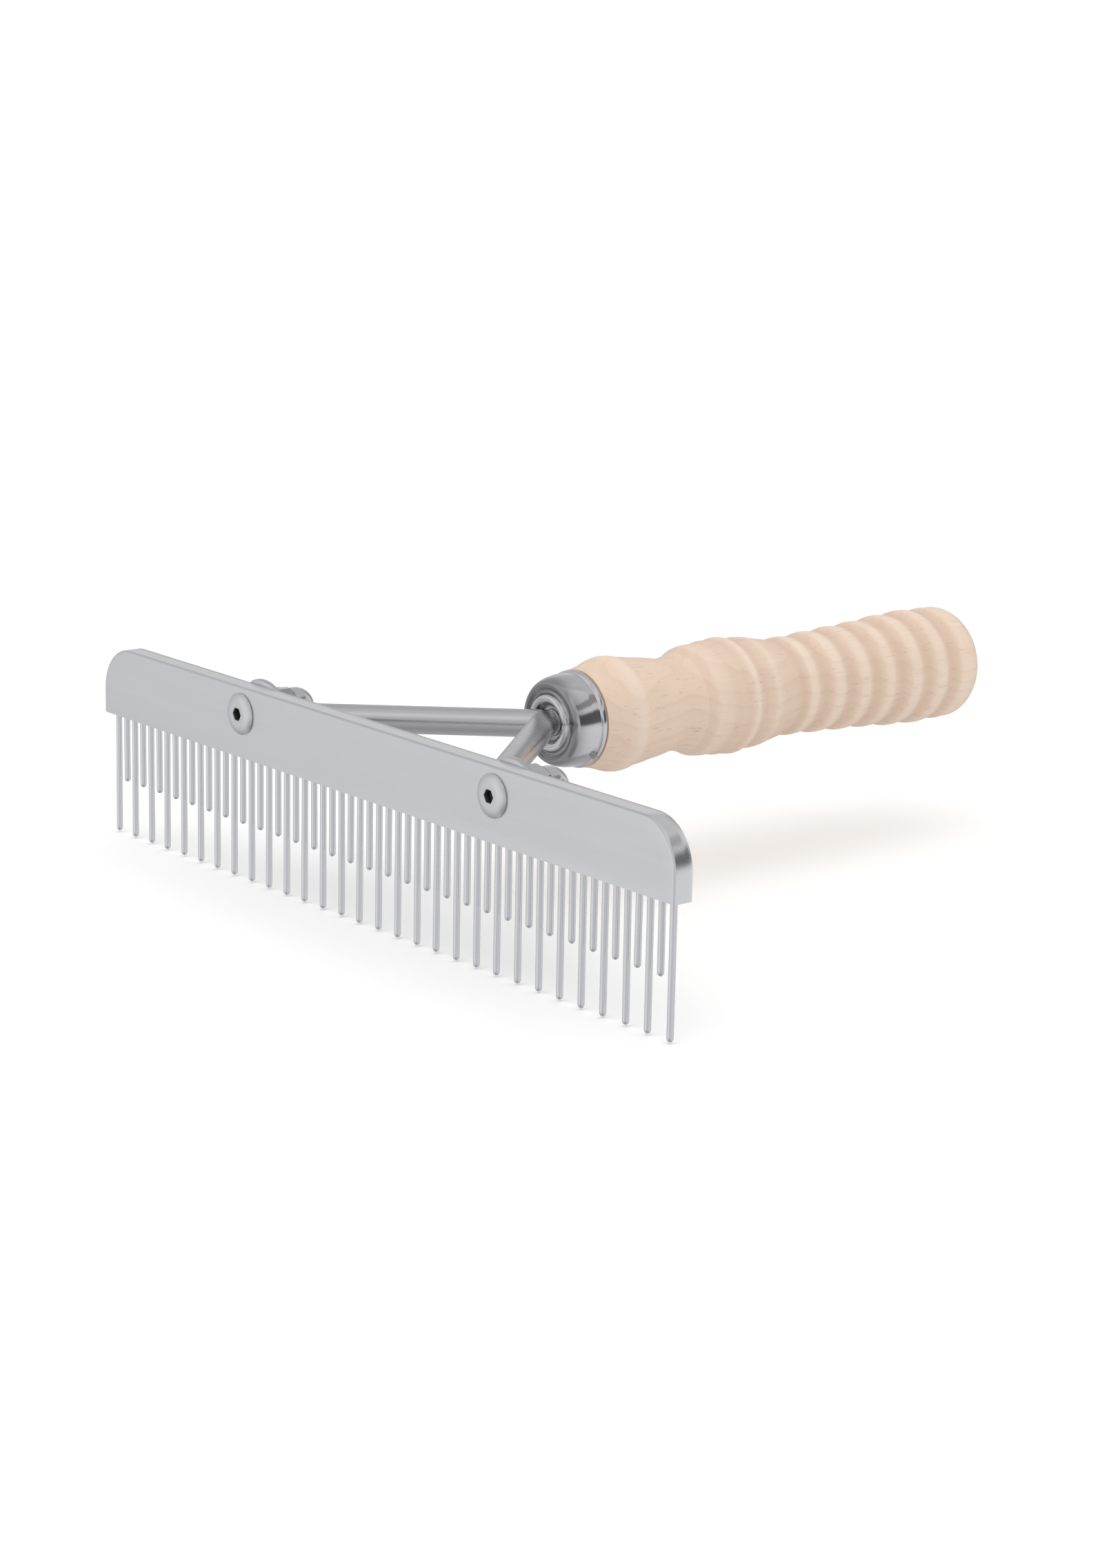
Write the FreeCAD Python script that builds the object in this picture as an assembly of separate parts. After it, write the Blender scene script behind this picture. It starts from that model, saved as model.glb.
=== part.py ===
import FreeCAD, Part
import math
import os

# Skip-tooth show comb: a hollow pressed head with long and short round pins in one line, held by a
# V of two steel rods whose flattened eyes are screwed to the head, and a turned wooden handle in a
# plated ferrule.
# Frame: origin at the centre of the head's flat top face. +X along the head, +Y back along the
# handle, +Z up, pins pointing down. Left is -X, right is +X. Millimetres.

os.makedirs("parts", exist_ok=True)
V = FreeCAD.Vector
ORIGIN = V(0, 0, 0)
BACK = V(0, 1, 0)           # direction of the screws and the handle
SIDES = (("left", -1), ("right", 1))

# ---------------------------------------------------------------- shared dimensions
head_len = 228.6            # 9 in
head_h = 18.0
head_depth = 5.2
corner_r = 11.5             # top corners of the head
sheet_t = 0.9
fit_gap = 0.04              # between the pressed sheets and what sits in them

axis_drop = 6.8             # screw, fork and handle axes below the head's top
screw_x = 50.8              # each screw from the middle of the head, 2 in
sheet_hole_r = 3.15         # clearance for the screws
eye_t = 2.2                 # flattened end of a fork rod
washer_t = 1.6
apex_y = 53.1               # where the rods' axes meet

half_len = head_len / 2
front_y = -head_depth / 2
back_y = head_depth / 2
cavity_front = front_y + sheet_t
cavity_back = back_y - sheet_t
cavity_depth = cavity_back - cavity_front
fitted_half = half_len - sheet_t - fit_gap      # half length of what fits inside the front shell
head_bottom = -head_h
axis_z = -axis_drop


# ---------------------------------------------------------------- helpers
def save(name, shape):
    shape.exportStep("parts/%s.step" % name)


def cylinder_y(x, y, radius, length):
    """Cylinder running back from y, at the height of the screw and handle axes."""
    return Part.makeCylinder(radius, length, V(x, y, axis_z), BACK)


def lies_at(edge, axis, place):
    """True when the whole edge lies in the plane axis = place."""
    box = edge.BoundBox
    return all(abs(getattr(box, axis + end) - place) < 1e-6 for end in ("Min", "Max"))


def lines(points):
    return [Part.makeLine(a, b) for a, b in zip(points, points[1:])]


def turned(wire):
    """Solid from a closed profile in the XY plane turned about Y."""
    return Part.Face(wire).revolve(ORIGIN, BACK, 360)


def turned_on_axis(wire):
    """Turned solid facing outward, moved to the handle's axis."""
    solid = turned(wire)
    if solid.Volume < 0:
        solid.reverse()
    solid.translate(V(0, 0, axis_z))
    return solid


def hexagon(across_flats, y):
    """Hexagonal face about the Y axis, in the plane y."""
    corner = across_flats / math.sqrt(3)
    angles = [math.radians(60 * k + 30) for k in range(7)]
    points = [V(corner * math.cos(a), y, corner * math.sin(a)) for a in angles]
    return Part.Face(Part.makePolygon(points))


# ---------------------------------------------------------------- head
front_edge_r = 0.8          # bend round the front face


def head_outline(half_x, top, bottom, radius, y):
    """Face in the plane y: straight sides and bottom, the two top corners rounded."""
    inset = radius - radius * math.sqrt(0.5)    # from the square corner to the arc's middle
    left_foot, right_foot = V(-half_x, y, bottom), V(half_x, y, bottom)
    left_side, right_side = V(-half_x, y, top - radius), V(half_x, y, top - radius)
    left_top, right_top = V(-half_x + radius, y, top), V(half_x - radius, y, top)
    left_mid, right_mid = V(-half_x + inset, y, top - inset), V(half_x - inset, y, top - inset)
    return Part.Face(Part.Wire([
        Part.makeLine(left_foot, left_side),
        Part.Arc(left_side, left_mid, left_top).toShape(),
        Part.makeLine(left_top, right_top),
        Part.Arc(right_top, right_mid, right_side).toShape(),
        Part.makeLine(right_side, right_foot),
        Part.makeLine(right_foot, left_foot),
    ]))


def cut_screw_holes(sheet):
    for _, side in SIDES:
        sheet = sheet.cut(cylinder_y(side * screw_x, front_y - 5, sheet_hole_r, 15))
    return sheet


def front_shell():
    """Front face with its top and ends bent back; open at the back and the bottom."""
    blank = head_outline(half_len, 0, head_bottom, corner_r, front_y)
    blank = blank.extrude(BACK * head_depth)
    rim = [e for e in blank.Edges
           if lies_at(e, "Y", front_y) and not lies_at(e, "Z", head_bottom)]
    blank = blank.makeFillet(front_edge_r, rim)
    pocket = head_outline(half_len - sheet_t, -sheet_t, head_bottom - 5,
                          corner_r - sheet_t, cavity_front)
    return cut_screw_holes(blank.cut(pocket.extrude(BACK * head_depth)))


def back_plate():
    plate = head_outline(fitted_half, -sheet_t - fit_gap, head_bottom,
                         corner_r - sheet_t - fit_gap, cavity_back)
    return cut_screw_holes(plate.extrude(BACK * sheet_t))


save("head_front_shell", front_shell())
save("head_back_plate", back_plate())

# ---------------------------------------------------------------- pins and their bar
bar_h = 6.4
pin_r = 0.8
pin_tip_flat_r = 0.06       # flat left at the rounded tip
long_pin_len = 32.0         # below the head
short_pin_len = 18.0
pin_seat = 5.6              # length of pin inside the bar
long_count = 30
pin_row = 222.7             # first to last long pin

pitch = pin_row / (long_count - 1)
long_x = [-pin_row / 2 + i * pitch for i in range(long_count)]
short_x = [x + pitch / 2 for x in long_x[:-1]]      # midway between long pins


def pin_bar():
    """Bar along the bottom of the head, with a blind hole for each pin."""
    bar = Part.makeBox(2 * fitted_half, cavity_depth, bar_h,
                       V(-fitted_half, cavity_front, head_bottom))
    below = 1.0             # the cutters start this far under the bar
    holes = [Part.makeCylinder(pin_r, pin_seat + below, V(x, 0, head_bottom - below))
             for x in long_x + short_x]
    return bar.cut(Part.makeCompound(holes))


def pin(x, length):
    tip = head_bottom - length
    body = Part.makeCylinder(pin_r, length + pin_seat, V(x, 0, tip))
    tip_edges = [e for e in body.Edges if lies_at(e, "Z", tip)]
    return body.makeFillet(pin_r - pin_tip_flat_r, tip_edges)


save("pin_bar", pin_bar())
save("long_pins", Part.makeCompound([pin(x, long_pin_len) for x in long_x]))
save("short_pins", Part.makeCompound([pin(x, short_pin_len) for x in short_x]))

# ---------------------------------------------------------------- screws and spacers
screw_r = 2.95              # M6 thread, plain here
screw_len = 16.0
screw_tip_chamfer = 0.5
screw_head_r = 5.25
screw_head_h = 1.35         # low head, nearly flush with the sheet
screw_flat_r = 2.9          # flat on the front of the head
screw_rim_h = 0.35
crown_inset, crown_rise = 1.09, 0.30    # arc's middle: in from the rim, back from the flat
socket_af = 3.0             # across flats
socket_depth = 1.6          # runs through the head into the shank
socket_cone_h = 0.9         # drilled point below the hexagon
socket_cone_ratio = 0.86    # cone radius to the hexagon's corner radius
spacer_r = 4.5


def screw(side):
    """Low-headed socket screw, its head against the front of the shell."""
    rim = V(screw_head_r, -screw_rim_h, 0)
    crown = V(screw_head_r - crown_inset, -screw_head_h + crown_rise, 0)
    flat = V(screw_flat_r, -screw_head_h, 0)
    head = turned(Part.Wire(
        lines([ORIGIN, V(screw_head_r, 0, 0), rim])
        + [Part.Arc(rim, crown, flat).toShape()]
        + lines([flat, V(0, -screw_head_h, 0), ORIGIN])))
    shank = Part.makeCylinder(screw_r, screw_len, ORIGIN, BACK)
    tip_edges = [e for e in shank.Edges if lies_at(e, "Y", screw_len)]
    shank = shank.makeChamfer(screw_tip_chamfer, tip_edges)
    body = head.fuse(shank)

    socket = hexagon(socket_af, -screw_head_h - 1).extrude(BACK * (1 + socket_depth))
    cone_r = socket_af / math.sqrt(3) * socket_cone_ratio
    cone = Part.makeCone(cone_r, 0, socket_cone_h, V(0, socket_depth - screw_head_h, 0), BACK)
    body = body.cut(socket.fuse(cone))
    body.translate(V(side * screw_x, front_y, axis_z))
    return body


def spacer(side):
    """Tube round the screw, between the two sheets of the head."""
    x = side * screw_x
    tube = cylinder_y(x, cavity_front, spacer_r, cavity_depth)
    return tube.cut(cylinder_y(x, cavity_front - 1, sheet_hole_r, 20))


# ---------------------------------------------------------------- lock washers and cap nuts
washer_outer_r = 5.9
washer_inner_r = 3.05
washer_slot = 1.1
slot_slant = 18             # degrees off the screw's axis
slot_turn = 40              # degrees round the screw from straight up
washer_y = back_y + eye_t
nut_y = washer_y + washer_t

nut_af = 10.0               # across flats
nut_hex_h = 5.0
nut_h = 12.0
nut_dome_r = 4.75
nut_bore_r = 3.0
nut_bore_depth = 9.3
nut_point_h = 1.2           # drilled point beyond the bore
nut_turn = {-1: -8.0, 1: 17.0}      # degrees each nut is left turned, by side


def lock_washer(side):
    x = side * screw_x
    ring = cylinder_y(x, washer_y, washer_outer_r, washer_t)
    ring = ring.cut(cylinder_y(x, washer_y - 1, washer_inner_r, 9))
    slot = Part.makeBox(washer_slot, 9, 9, V(-washer_slot / 2, -4.5, 0))
    slot.rotate(ORIGIN, V(0, 0, 1), slot_slant)
    slot.rotate(ORIGIN, BACK, slot_turn * side)
    slot.translate(V(x, washer_y, axis_z))
    return ring.cut(slot)


def cap_nut(side):
    """Domed nut: chamfered hexagon, round neck, ball end and a blind bore."""
    prism = hexagon(nut_af, 0).extrude(BACK * (nut_hex_h + 0.4))
    # both ends of the hexagon are turned to a 30 degree chamfer
    corner = nut_af / math.sqrt(3)
    limit = corner + 0.01
    chamfer = corner - nut_af / 2 + 0.12
    slope = math.tan(math.radians(30))
    hex_end = nut_hex_h + 0.3 * chamfer * slope
    envelope = turned(Part.makePolygon([
        ORIGIN,
        V(corner - chamfer, 0, 0),
        V(limit, chamfer * slope, 0),
        V(limit, nut_hex_h - chamfer * slope, 0),
        V(corner - 1.3 * chamfer, hex_end, 0),
        V(0, hex_end, 0),
        ORIGIN,
    ]))
    prism = prism.common(envelope)

    neck_len = nut_h - nut_dome_r
    neck = Part.makeCylinder(nut_dome_r, neck_len, ORIGIN, BACK)
    ball = Part.makeSphere(nut_dome_r, V(0, neck_len, 0))
    body = prism.fuse([neck, ball])
    body = body.cut(Part.makeCylinder(nut_bore_r, nut_bore_depth, ORIGIN, BACK))
    body = body.cut(Part.makeCone(nut_bore_r, 0, nut_point_h, V(0, nut_bore_depth, 0), BACK))
    body = body.removeSplitter()
    body.rotate(ORIGIN, BACK, nut_turn[side])
    body.translate(V(side * screw_x, nut_y, axis_z))
    return body


for side_name, side in SIDES:
    save("screw_" + side_name, screw(side))
    save("spacer_" + side_name, spacer(side))
    save("lock_washer_" + side_name, lock_washer(side))
    save("cap_nut_" + side_name, cap_nut(side))

# ---------------------------------------------------------------- fork
rod_r = 3.5                 # 7 mm rod
eye_r = 8.0
eye_edge_r = 0.45
knee_x, knee_y = 40.3, 7.05     # where the rod's straight axis ends
round_end = 7.2             # the plain round rod stops this far short of the knee
swell_end = 4.6             # second section, this far short of the knee
past_apex = 8.0             # extra rod beyond the apex, trimmed by the mitre

tang_r = 3.3
tang_len = 68.0
tang_chamfer = 1.2
tang_front = apex_y - 0.4


def section(x, y, angle, half_t, half_w, power):
    """Closed smooth superellipse: half_t across the path in XY at the angle, half_w in Z."""
    points = []
    for k in range(24):
        turn = 2 * math.pi * k / 24
        c, s = math.cos(turn), math.sin(turn)
        across = half_t * math.copysign(abs(c) ** (2 / power), c)
        rise = half_w * math.copysign(abs(s) ** (2 / power), s)
        points.append(V(x + across * math.cos(angle), y + across * math.sin(angle),
                        axis_z + rise))
    curve = Part.BSplineCurve()
    curve.interpolate(Points=points, PeriodicFlag=True)
    return Part.Wire([curve.toShape()])


def right_leg():
    """Straight rod from the apex, a neck that flattens it, and the eye round the screw."""
    apex = V(0, apex_y, axis_z)
    direction = V(knee_x, knee_y - apex_y, 0)
    length = direction.Length
    direction.normalize()
    across = math.atan2(direction.x, -direction.y)      # across the straight rod, in XY
    start = apex + direction * (length - round_end)
    swell = apex + direction * (length - swell_end)
    eye_mid = back_y + eye_t / 2
    # x, y, angle across the path, half thickness, half width, superellipse power
    stations = [
        (start.x, start.y, across, rod_r, rod_r, 2.0),
        (swell.x, swell.y, across + 0.02, rod_r * 0.985, rod_r * 1.02, 2.0),
        (knee_x - 0.75, knee_y + 0.95, across + 0.22, 2.75, 3.92, 2.1),
        (knee_x + 1.35, knee_y - 1.05, across + 0.50, 1.80, 4.45, 2.4),
        (knee_x + 3.3, eye_mid + 0.66, across + 0.74, 1.15, 4.8, 2.8),
        (knee_x + 4.9, eye_mid + 0.12, across + 0.83, 0.88, 5.1, 3.0),
        (knee_x + 6.8, eye_mid, math.pi / 2, 0.80, 5.4, 3.2),
    ]
    neck = Part.makeLoft([section(*row) for row in stations], True, False)
    straight = Part.Face(section(*stations[0]))
    straight = straight.extrude(direction * -(length - round_end + past_apex))

    eye = cylinder_y(screw_x, back_y, eye_r, eye_t)
    circles = [e for e in eye.Edges
               if e.Closed and len(e.Vertexes) == 1 and abs(e.BoundBox.YLength) < 1e-6]
    eye = eye.makeFillet(eye_edge_r, circles)
    eye = eye.cut(cylinder_y(screw_x, back_y - 3, sheet_hole_r, 12))

    # mitre at the V's apex: nothing is left on the -X side
    straight = straight.cut(Part.makeBox(60, 120, 60, V(-60, -10, axis_z - 30)))
    return straight.fuse(neck).fuse(eye)


def fork_tang(legs):
    """Round bar from the apex into the handle, its front cut to fit the legs."""
    tang = Part.makeCylinder(tang_r, tang_len, V(0, tang_front, axis_z), BACK)
    rear = [e for e in tang.Edges if lies_at(e, "Y", tang_front + tang_len)]
    tang = tang.makeChamfer(tang_chamfer, rear)
    for leg in legs:
        tang = tang.cut(leg)
    return max(tang.Solids, key=lambda solid: solid.Volume)


leg_right = right_leg()
leg_left = leg_right.mirror(ORIGIN, V(1, 0, 0))
save("fork_leg_right", leg_right)
save("fork_leg_left", leg_left)
save("fork_tang", fork_tang([leg_right, leg_left]))

# ---------------------------------------------------------------- ferrule
ferrule_front = 53.5
ferrule_rear = 63.5
ferrule_r = 11.7
bead_r = 12.3
bead_w = 1.9                # rounded rim at the rear
hub_r = 3.45                # hole in the front for the tang
tenon_r = 10.9              # front end of the handle, inside the ferrule
tenon_front = 56.0
bore_r = tenon_r + 0.02

# front of the ferrule, from the hole outward: radius, distance behind ferrule_front
ferrule_nose = [
    (hub_r, 2.05), (4.15, 1.95), (4.75, 1.3), (5.35, 0.4), (6.25, -0.05), (7.1, 0.5),
    (7.6, 1.35), (8.25, 1.4), (9.0, 0.8), (9.9, 0.85), (10.6, 1.5), (11.1, 2.6),
    (11.45, 4.0), (ferrule_r, 6.0),
]


def ferrule_blank():
    nose = [V(radius, ferrule_front + y, 0) for radius, y in ferrule_nose]
    curve = Part.BSplineCurve()
    curve.interpolate(nose)
    bead_start = V(ferrule_r, ferrule_rear - bead_w, 0)
    bead_top = V(bead_r, ferrule_rear - bead_w / 2, 0)
    bead_end = V(ferrule_r, ferrule_rear, 0)
    inside = [
        bead_end,
        V(bore_r, ferrule_rear, 0),
        V(bore_r, tenon_front + 1.5, 0),
        V(tenon_r - 1.2, tenon_front, 0),
        V(hub_r, tenon_front, 0),
        nose[0],
    ]
    edges = [curve.toShape(), Part.makeLine(nose[-1], bead_start),
             Part.Arc(bead_start, bead_top, bead_end).toShape()]
    return turned_on_axis(Part.Wire(edges + lines(inside)))


# ---------------------------------------------------------------- handle
handle_gap = 0.05           # between the ferrule and the wood, along Y

# turned outline from the ferrule to the grip ridges: distance along Y, radius
handle_front = [
    (63.55, 12.25), (65.3, 12.65), (68, 13.31), (70.6, 14.2), (72.8, 14.6), (74.6, 14.45),
    (76.2, 14), (78.2, 13.75), (81.5, 13.25), (85.4, 12.75), (89, 12.1), (91.4, 11.85),
    (93.6, 12.1), (95.8, 12.7), (97.4, 13.25), (98.6, 13.9), (99.9, 14.2), (102.2, 14.3),
    (104, 14.35), (105.6, 14.65), (107, 14.65), (108.4, 14.6), (109.6, 14.9), (111, 15.1),
    (112.2, 14.75), (113.6, 14.4), (116, 14.4), (118.6, 14.3), (121, 13.8), (124, 13.2),
    (126.8, 12.65), (129.2, 12.35),
]
ridge_first = 132.0
ridge_pitch = 8.75
ridge_crests = [12.9, 13.3, 13.7, 14.1, 14.75, 15.15, 14.95]    # radii
groove_depth = 0.71         # below the mean of the crests on either side
# rounded rear end: distance along Y, radius
handle_butt = [
    (187.5, 14.8), (188.9, 14.3), (190.2, 13.4), (191.3, 12.1), (192.3, 10.4), (193.15, 8.2),
    (193.8, 5.6), (194.2, 2.8), (194.3, 0.0),
]


def ridge_points():
    points = []
    for k, crest in enumerate(ridge_crests):
        y = ridge_first + k * ridge_pitch
        points += [(y - 1.5, crest - 0.14), (y, crest), (y + 1.6, crest - 0.12)]
        if k + 1 < len(ridge_crests):
            groove = (crest + ridge_crests[k + 1]) / 2 - groove_depth
            middle = y + ridge_pitch / 2
            points += [(middle - 0.5, groove), (middle + 0.5, groove)]
    return points


def handle_blank():
    """Turned grip with its tenon, bored for the tang."""
    outline = [V(radius, y, 0) for y, radius in handle_front + ridge_points() + handle_butt]
    curve = Part.BSplineCurve()
    curve.interpolate(outline)
    front = tenon_front + handle_gap
    tenon = [
        V(0, front, 0),
        V(tenon_r - 1.25, front, 0),
        V(tenon_r, front + 1.5, 0),
        V(tenon_r, ferrule_rear + handle_gap, 0),
        outline[0],
    ]
    axis_line = Part.makeLine(outline[-1], tenon[0])
    grip = turned_on_axis(Part.Wire(lines(tenon) + [curve.toShape(), axis_line]))
    bore_start = 40
    bore_end = tang_front + tang_len + 1.5
    return grip.cut(cylinder_y(0, bore_start, tang_r + 0.01, bore_end - bore_start))


# ---------------------------------------------------------------- brads through the ferrule
brad_r = 0.9
brad_len = 8.2
brad_inner = 4.0            # inner end of the nail, from the handle's axis
brad_head_r = 1.25
brad_dome_r = 1.5           # sphere the head is cut from
brad_y = 61.2
brad_angle = -38.0          # degrees from +X toward +Z; the other brad is opposite


def brad(angle):
    turn = math.radians(angle)
    outward = V(math.cos(turn), 0, math.sin(turn))
    centre = V(0, brad_y, axis_z)
    nail = Part.makeCylinder(brad_r, brad_len, centre + outward * brad_inner, outward)
    ball = Part.makeSphere(brad_dome_r, centre + outward * (ferrule_r - 1.08))
    head_base = centre + outward * (ferrule_r - 0.1)
    dome = ball.common(Part.makeCylinder(brad_head_r, 3, head_base, outward))
    return nail.fuse(dome).removeSplitter()


ferrule = ferrule_blank()
handle = handle_blank()
brads = [brad(brad_angle), brad(brad_angle + 180)]
for nail in brads:
    ferrule = ferrule.cut(nail)
    handle = handle.cut(nail)
save("ferrule_brads", Part.makeCompound(brads))
save("ferrule", ferrule)
save("handle_grip", handle)
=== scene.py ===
"""A two-row pin comb: a pressed metal head, a two-armed fork and a turned wooden handle.

The head lies along x with its flat top at z = 0, and its pins point down (-z). Its front
sheet faces -y. The fork and handle run back along +y at height AXIS_Z. Right is +x.
Shapes are written in millimetres and scaled to metres when a mesh is made.
"""
import math

import bmesh
import bpy
import numpy as np
from mathutils import Matrix, Vector
from mathutils.geometry import delaunay_2d_cdt

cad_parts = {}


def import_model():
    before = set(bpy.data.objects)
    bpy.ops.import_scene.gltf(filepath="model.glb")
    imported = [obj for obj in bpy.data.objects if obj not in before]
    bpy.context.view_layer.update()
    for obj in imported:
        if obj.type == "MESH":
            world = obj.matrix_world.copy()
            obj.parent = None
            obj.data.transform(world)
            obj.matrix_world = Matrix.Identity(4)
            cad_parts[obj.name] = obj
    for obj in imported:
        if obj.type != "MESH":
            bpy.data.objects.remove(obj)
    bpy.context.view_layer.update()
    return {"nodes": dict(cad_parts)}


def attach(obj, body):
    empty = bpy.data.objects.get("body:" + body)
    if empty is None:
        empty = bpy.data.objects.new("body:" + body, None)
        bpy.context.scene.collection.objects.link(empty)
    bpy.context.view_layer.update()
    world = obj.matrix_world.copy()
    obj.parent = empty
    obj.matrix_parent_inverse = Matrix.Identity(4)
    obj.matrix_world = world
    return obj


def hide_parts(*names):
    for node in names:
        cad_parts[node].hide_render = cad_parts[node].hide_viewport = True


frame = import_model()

scene = bpy.context.scene
rng = np.random.RandomState(41)     # shared by all pieces, so their order matters

# Dimensions shared by several pieces, in mm
MM = 0.001
AXIS_Z = -6.8                       # axis of the screws, fork and handle
HEAD_FRONT, HEAD_BACK = -2.6, 2.6   # y of the head's outer faces
HEAD_HALF = 114.3                   # half the head's length
HEAD_BOTTOM = -18.0
HOLE_X = 50.8                       # screw holes at plus and minus this x
HOLE_RADIUS = 3.15
EYE_THICKNESS = 2.2                 # flattened end of each fork arm
WASHER_THICKNESS = 1.6
EYE_BACK = HEAD_BACK + EYE_THICKNESS
ON_AXIS = 1e-6                      # a smaller radius counts as a point on the axis


# ------------------------------------------------------------------ mesh helpers
def clamp01(value):
    return min(1.0, max(0.0, value))


def make(name, mesh, material, node, sharp, body="root"):
    """Makes an object from (vertices in mm, faces); edges over `sharp` degrees stay crisp."""
    verts, faces = mesh
    me = bpy.data.meshes.new(name)
    me.from_pydata([tuple(c * MM for c in v) for v in verts], [], faces)
    me.validate()
    me.update()
    ob = bpy.data.objects.new(name, me)
    scene.collection.objects.link(ob)
    me.shade_smooth()
    me.set_sharp_from_angle(angle=math.radians(sharp))
    me.materials.append(material)
    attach(ob, body)
    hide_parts(node)
    bm = bmesh.new()
    bm.from_mesh(me)
    bmesh.ops.recalc_face_normals(bm, faces=bm.faces)
    bm.to_mesh(me)
    bm.free()
    return ob


def point_attribute(ob, name, values):
    attribute = ob.data.attributes.new(name, "FLOAT", "POINT")
    attribute.data.foreach_set("value", np.array(values, np.float32))


def around_axis(radius, angle, y, x=0.0):
    """A point at `radius` from the line along y through (x, AXIS_Z)."""
    return x + radius * math.cos(angle), y, AXIS_Z + radius * math.sin(angle)


def lathe(profile, n, place, closed=False):
    """Turns (radius, station) pairs; place(radius, station, angle) gives each vertex.

    A pair on the axis gives one vertex. `closed` joins the last row to the first.
    """
    verts, rows = [], []
    for radius, station in profile:
        count = 1 if radius < ON_AXIS else n
        rows.append(range(len(verts), len(verts) + count))
        verts += [place(radius, station, 2 * math.pi * k / n) for k in range(count)]
    faces = []
    for a, b in zip(rows, rows[1:] + (rows[:1] if closed else [])):
        for k in range(n):
            k2 = (k + 1) % n
            if len(a) == 1:
                faces.append((a[0], b[k], b[k2]))
            elif len(b) == 1:
                faces.append((a[k], b[0], a[k2]))
            else:
                faces.append((a[k], b[k], b[k2], a[k2]))
    return verts, faces


def join_rings(stack):
    """Joins rings of equal point count and closes each end with a fan."""
    n, last = len(stack[0]), len(stack) - 1
    verts = [point for ring in stack for point in ring]
    faces = []
    for i in range(last):
        for k in range(n):
            a, b = i * n + k, i * n + (k + 1) % n
            faces.append((a, b, b + n, a + n))
    for i in (0, last):
        centre = len(verts)
        verts.append(tuple(np.mean(np.array(stack[i]), axis=0)))
        for k in range(n):
            a, b = i * n + k, i * n + (k + 1) % n
            faces.append((b, a, centre) if i == 0 else (a, b, centre))
    return verts, faces


def fastener(rows, n, x, seat_y):
    """Joins rings about the screw axis at x; rows are (y from the seat, radius(angle))."""
    angles = [2 * math.pi * k / n for k in range(n)]
    return join_rings([[around_axis(radius(t), t, seat_y + y, x) for t in angles]
                       for y, radius in rows])


def circle(radius):
    return lambda angle: radius


def hexagon(across_flats, turn=0.0):
    def radius(angle):
        past_corner = (angle - turn) % (math.pi / 3)
        return across_flats / 2 / math.cos(past_corner - math.pi / 6)
    return radius


def spline(points, step):
    """Natural cubic through 2-D points by chord length, resampled at about `step`."""
    p = np.array(points, float)
    knots = np.concatenate([[0], np.cumsum(np.linalg.norm(np.diff(p, axis=0), axis=1))])
    n = len(p)
    gap = np.diff(knots)
    matrix = np.zeros((n, n))
    rhs = np.zeros((n, 2))
    matrix[0, 0] = matrix[-1, -1] = 1
    for i in range(1, n - 1):
        matrix[i, i - 1:i + 2] = gap[i - 1], 2 * (gap[i - 1] + gap[i]), gap[i]
        rhs[i] = 6 * ((p[i + 1] - p[i]) / gap[i] - (p[i] - p[i - 1]) / gap[i - 1])
    bend = np.linalg.solve(matrix, rhs)      # second derivatives at the knots
    s = np.linspace(0, knots[-1], max(2, int(knots[-1] / step) + 1))
    i = np.clip(np.searchsorted(knots, s, side="right") - 1, 0, n - 2)
    after, before = (s - knots[i])[:, None], (knots[i + 1] - s)[:, None]
    width = gap[i][:, None]
    return ((bend[i] * before ** 3 + bend[i + 1] * after ** 3) / (6 * width)
            + (p[i] / width - bend[i] * width / 6) * before
            + (p[i + 1] / width - bend[i + 1] * width / 6) * after)


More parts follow.
